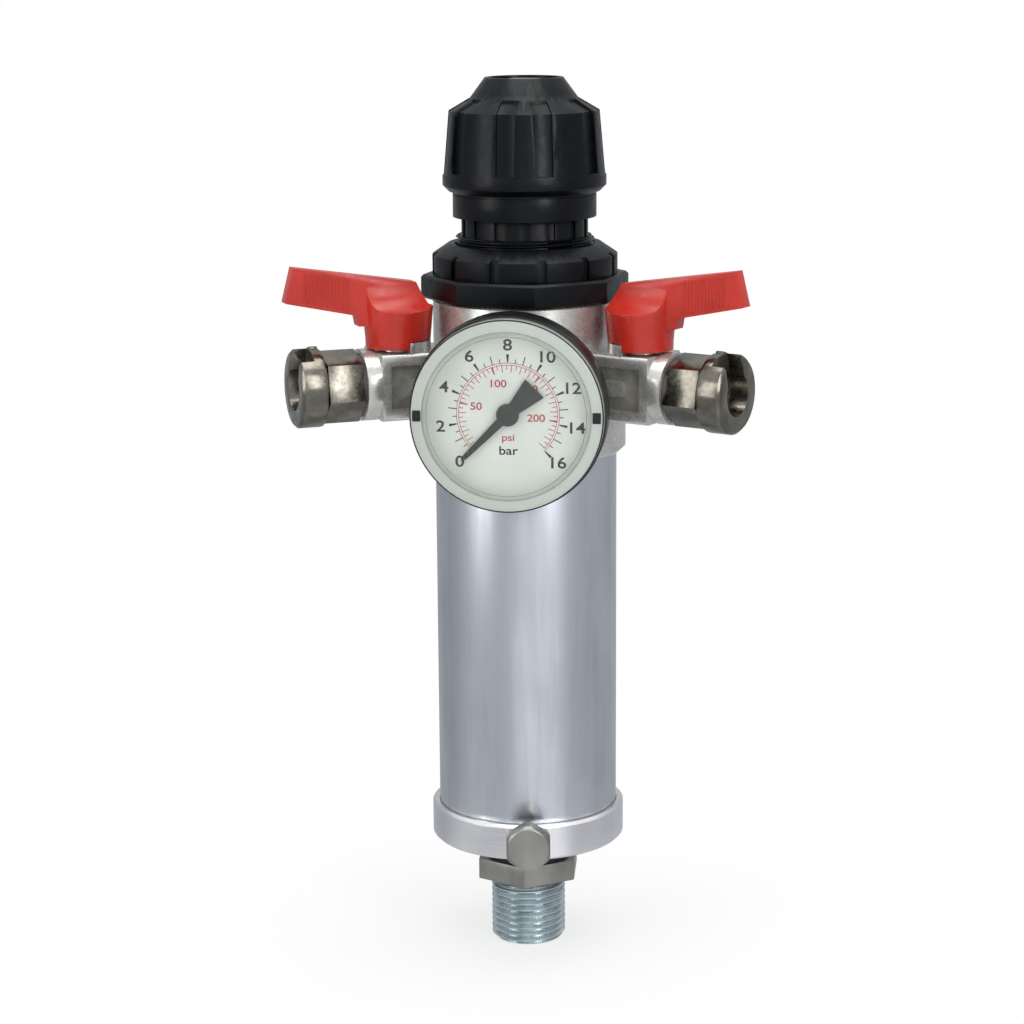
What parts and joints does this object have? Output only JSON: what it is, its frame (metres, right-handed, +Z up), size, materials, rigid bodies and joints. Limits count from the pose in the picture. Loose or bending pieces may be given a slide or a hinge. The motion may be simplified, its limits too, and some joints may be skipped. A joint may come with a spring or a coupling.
{
  "type": "filter regulator",
  "caption": "Compressed-air filter regulator: steel separator tube with bottom inlet thread, adjusting knob, round pressure gauge and side ball taps with hose couplings.",
  "frame": {"origin": "on the main axis, in the end face of the inlet thread at the foot of the unit", "axes": "+Z up along the main axis, -Y towards the gauge's face, the taps to the left (-X) and right (+X)"},
  "size_m": [0.1268, 0.0739, 0.2436],
  "materials": {
    "zinc_plated_steel": "bluish passivated zinc, satin",
    "turned_aluminium": "fine turned, bright",
    "die_cast_metal": "die-cast and tumbled, satin",
    "black_plastic": "moulded, satin",
    "knob_plastic": "moulded, semi-gloss",
    "red_plastic": "moulded, satin",
    "nickel_plate": "nickel plated, bright",
    "brass": "machined",
    "chromed_ball": "polished",
    "white_seat_plastic": "turned",
    "black_rubber": "moulded, matte",
    "seal_fibre": "pressed fibre, matte",
    "bright_steel": "machined, bright",
    "filter_plastic": "sintered, porous",
    "gauge_case_paint": "moulded, satin black",
    "clear_plastic": "clear, polished",
    "dial_paint": "printed, matte",
    "pointer_paint": "matte black"
  },
  "bodies": {
    "unit": {"inlet_nipple": "zinc_plated_steel", "separator_tube": "zinc_plated_steel", "tie_tube": "zinc_plated_steel", "bottom_cap": "turned_aluminium", "valve_body": "die_cast_metal", "bonnet": "black_plastic", "panel_nut": "black_plastic", "filter_retainer": "black_plastic", "air_deflector": "black_plastic", "left_coupling": "nickel_plate", "right_coupling": "nickel_plate", "gauge_socket": "brass", "movement_plates": "brass", "bourdon_tube": "brass", "valve_seat": "brass", "left_inner_seat": "white_seat_plastic", "right_inner_seat": "white_seat_plastic", "left_outer_seat": "white_seat_plastic", "right_outer_seat": "white_seat_plastic", "slip_ring": "white_seat_plastic", "nipple_seal": "black_rubber", "bottom_tube_seal": "black_rubber", "top_tube_seal": "black_rubber", "diaphragm": "black_rubber", "left_stem_seal": "black_rubber", "right_stem_seal": "black_rubber", "drain_seal": "seal_fibre", "left_coupling_seal": "seal_fibre", "right_coupling_seal": "seal_fibre", "gauge_seal": "seal_fibre", "thrust_washer": "bright_steel", "regulating_spring": "bright_steel", "poppet_spring": "bright_steel", "filter_element": "filter_plastic", "gauge_case": "gauge_case_paint", "gauge_lens": "clear_plastic", "gauge_dial": "dial_paint"},
    "spindle": {"adjusting_spindle": "bright_steel", "knob_screw": "bright_steel"},
    "knob": {"knob": "knob_plastic"},
    "spring_nut": {"spring_nut": "black_plastic"},
    "valve_plate": {"diaphragm_plate": "bright_steel", "poppet": "brass"},
    "left_tap": {"left_lever": "red_plastic", "left_stem": "brass", "left_ball": "chromed_ball"},
    "right_tap": {"right_lever": "red_plastic", "right_stem": "brass", "right_ball": "chromed_ball"},
    "drain": {"drain_screw": "zinc_plated_steel"},
    "sector": {"sector_gear": "brass"},
    "pointer": {"gauge_pointer": "pointer_paint", "pinion_arbor": "brass"},
    "link": {"gauge_link": "brass"}
  },
  "joints": [
    {"name": "knob_turn", "type": "hinge", "parent": "unit", "child": "spindle", "pos_m": [0, 0, 0.22], "axis": [0, 0, 1], "range_deg": [-1920, 0]},
    {"name": "knob_lift", "type": "slide", "parent": "spindle", "child": "knob", "axis": [0, 0, 1], "range_m": [0, 0.003]},
    {"name": "spring_nut_travel", "type": "slide", "parent": "unit", "child": "spring_nut", "axis": [0, 0, 1], "range_m": [-0.0081, 0], "deforming": ["regulating_spring"]},
    {"name": "valve_lift", "type": "slide", "parent": "unit", "child": "valve_plate", "axis": [0, 0, 1], "range_m": [-0.0012, 0], "stiffness_N_per_m": 1500, "springref_m": 0.002, "deforming": ["poppet_spring", "diaphragm"]},
    {"name": "left_tap_turn", "type": "hinge", "parent": "unit", "child": "left_tap", "pos_m": [-0.03272, -0.01596, 0.1629], "axis": [0, 0, -1], "range_deg": [0, 90]},
    {"name": "right_tap_turn", "type": "hinge", "parent": "unit", "child": "right_tap", "pos_m": [0.03272, -0.01596, 0.1629], "axis": [0, 0, 1], "range_deg": [0, 90]},
    {"name": "drain_turn", "type": "hinge", "parent": "unit", "child": "drain", "pos_m": [0.00301, -0.02643, 0.0366], "axis": [0.1132, -0.9936, 0], "range_deg": [0, 1080]},
    {"name": "sector_turn", "type": "hinge", "parent": "unit", "child": "sector", "pos_m": [0, -0.036, 0.1479], "axis": [0, 1, 0], "range_deg": [-45, 0], "stiffness_Nm_per_rad": 0.002},
    {"name": "pointer_turn", "type": "hinge", "parent": "unit", "child": "pointer", "pos_m": [0, -0.036, 0.1591], "axis": [0, 1, 0], "range_deg": [0, 270.5]},
    {"name": "link_swing", "type": "hinge", "parent": "sector", "child": "link", "pos_m": [0, -0.036, 0.1449], "axis": [0, 1, 0], "range_deg": [0, 45.5]}
  ],
  "couplings": [
    {"joint": "spring_nut_travel", "follows": "knob_turn", "m_per_rad": 0.00023873},
    {"joint": "pointer_turn", "follows": "sector_turn", "ratio": -6},
    {"joint": "link_swing", "follows": "sector_turn", "ratio": -1}
  ]
}
